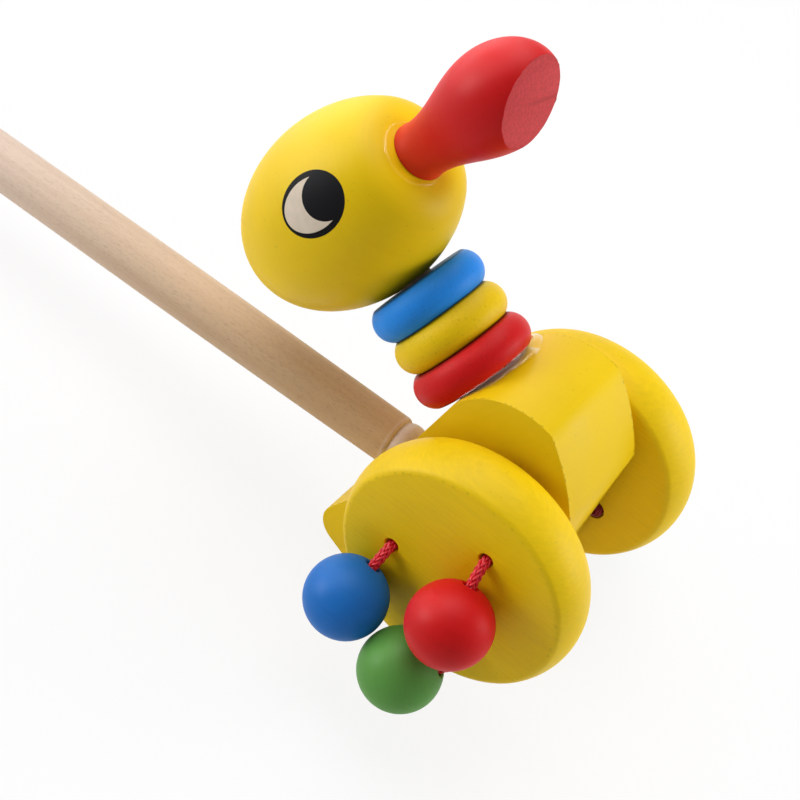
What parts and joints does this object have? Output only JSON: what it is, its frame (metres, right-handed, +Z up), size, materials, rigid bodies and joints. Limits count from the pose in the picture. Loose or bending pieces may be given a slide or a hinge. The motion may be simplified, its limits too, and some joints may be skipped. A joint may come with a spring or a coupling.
{
  "type": "toddler push toy",
  "caption": "Wooden duck on wheels with a turned beak, loose neck rings, beads that clack on cords at the wheels, and a long push stick with a ball knob.",
  "frame": {"origin": "on the floor under the middle of the axle, with the toy laid down on its tail and on the knob of its stick", "axes": "+Z up from the floor, +X along the floor from the knob towards the duck, +Y along the axle to the duck's left wheel"},
  "size_m": [0.5273, 0.1372, 0.1853],
  "materials": {
    "yellow_paint": "satin paint on turned or sawn wood",
    "red_paint": "satin paint on turned or sawn wood",
    "blue_paint": "satin paint on turned or sawn wood",
    "green_paint": "satin paint on turned or sawn wood",
    "beech": "fine sanded, clear satin",
    "birch_dowel": "bare sanded",
    "red_cord": "tight braid with a slight gloss"
  },
  "bodies": {
    "duck": {"body_block": "yellow_paint", "neck_dowel": "birch_dowel", "ring_red": "red_paint", "head": "yellow_paint", "beak": "red_paint", "stick": "beech", "stick_knob": "beech"},
    "wheelset": {"axle": "birch_dowel", "wheel_right": "yellow_paint", "wheel_left": "yellow_paint", "knots_right": "red_cord", "knots_left": "red_cord", "cord_right_red": "red_cord", "cord_right_blue": "red_cord", "cord_right_green": "red_cord", "cord_left_red": "red_cord", "cord_left_blue": "red_cord", "cord_left_green": "red_cord"},
    "yellow_ring": {"ring_yellow": "yellow_paint"},
    "blue_ring": {"ring_blue": "blue_paint"},
    "right_red_bead": {"bead_right_red": "red_paint"},
    "right_blue_bead": {"bead_right_blue": "blue_paint"},
    "right_green_bead": {"bead_right_green": "green_paint"},
    "left_red_bead": {"bead_left_red": "red_paint"},
    "left_blue_bead": {"bead_left_blue": "blue_paint"},
    "left_green_bead": {"bead_left_green": "green_paint"}
  },
  "joints": [
    {"name": "wheels_roll", "type": "hinge", "parent": "duck", "child": "wheelset", "pos_m": [0, 0, 0.05455], "axis": [0, 1, 0], "continuous": true},
    {"name": "yellow_ring_spin", "type": "hinge", "parent": "duck", "child": "yellow_ring", "pos_m": [-0.04259, 0, 0.09393], "axis": [-0.9048, 0, 0.4258], "continuous": true},
    {"name": "blue_ring_spin", "type": "hinge", "parent": "duck", "child": "blue_ring", "pos_m": [-0.05258, 0, 0.09864], "axis": [-0.9048, 0, 0.4258], "continuous": true},
    {"name": "right_red_bead_swing", "type": "hinge", "parent": "wheelset", "child": "right_red_bead", "pos_m": [0.00704, -0.043, 0.07198], "axis": [-0.9877, 0, -0.1564], "range_deg": [0, 75], "deforming": ["cord_right_red"]},
    {"name": "right_blue_bead_swing", "type": "hinge", "parent": "wheelset", "child": "right_blue_bead", "pos_m": [-0.01862, -0.043, 0.05194], "axis": [-0.9925, 0, 0.1219], "range_deg": [0, 75], "deforming": ["cord_right_blue"]},
    {"name": "right_green_bead_swing", "type": "hinge", "parent": "wheelset", "child": "right_green_bead", "pos_m": [0.01157, -0.043, 0.03974], "axis": [-0.809, 0, 0.5878], "range_deg": [0, 15], "deforming": ["cord_right_green"]},
    {"name": "left_red_bead_swing", "type": "hinge", "parent": "wheelset", "child": "left_red_bead", "pos_m": [0, 0.043, 0.07335], "axis": [1, 0, 0], "range_deg": [0, 70], "deforming": ["cord_left_red"]},
    {"name": "left_blue_bead_swing", "type": "hinge", "parent": "wheelset", "child": "left_blue_bead", "pos_m": [-0.01628, 0.043, 0.04515], "axis": [1, 0, 0], "range_deg": [0, 30], "deforming": ["cord_left_blue"]},
    {"name": "left_green_bead_swing", "type": "hinge", "parent": "wheelset", "child": "left_green_bead", "pos_m": [0.01628, 0.043, 0.04515], "axis": [1, 0, 0], "range_deg": [0, 30], "deforming": ["cord_left_green"]}
  ]
}
